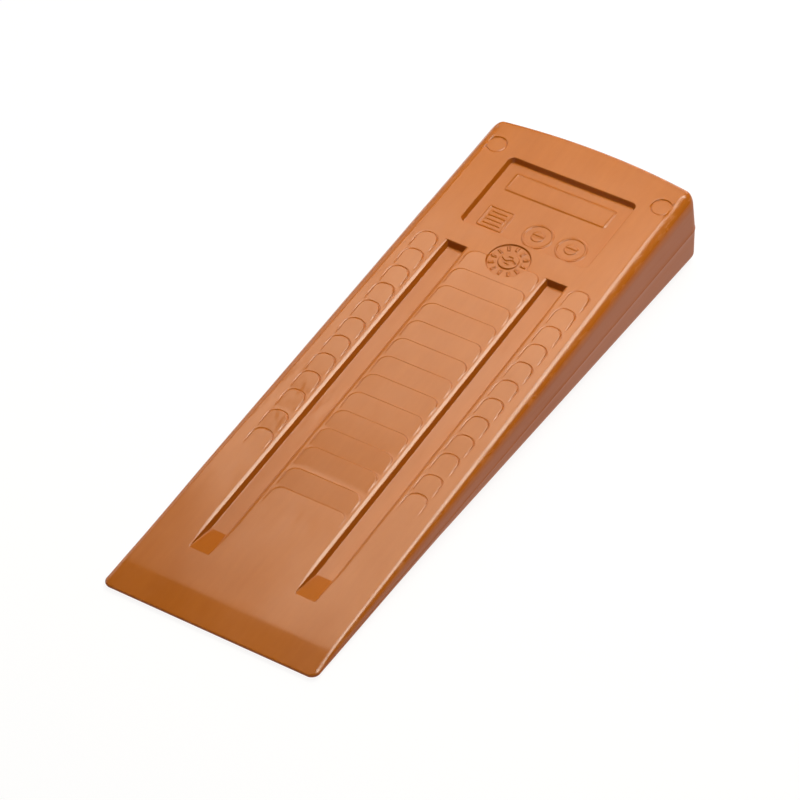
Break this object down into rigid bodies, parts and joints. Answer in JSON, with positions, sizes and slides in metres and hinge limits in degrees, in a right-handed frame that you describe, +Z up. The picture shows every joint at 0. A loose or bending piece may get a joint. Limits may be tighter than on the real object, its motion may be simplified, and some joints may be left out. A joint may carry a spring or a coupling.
{
  "type": "felling wedge",
  "caption": "Solid plastic felling wedge with a bevelled tip, a crowned butt, long grooves, raised grip scales and a sunk marking panel.",
  "frame": {"origin": "on the plane of the lower long face, under the middle of the bounding box", "axes": "+X across the width, +Y from the tip to the butt along the lower face, +Z up from the lower face"},
  "size_m": [0.078, 0.2314, 0.0283],
  "materials": {
    "wedge_plastic": "solid orange moulded polyamide, satin gloss"
  },
  "bodies": {
    "root": {"wedge_body": "wedge_plastic"}
  },
  "joints": []
}
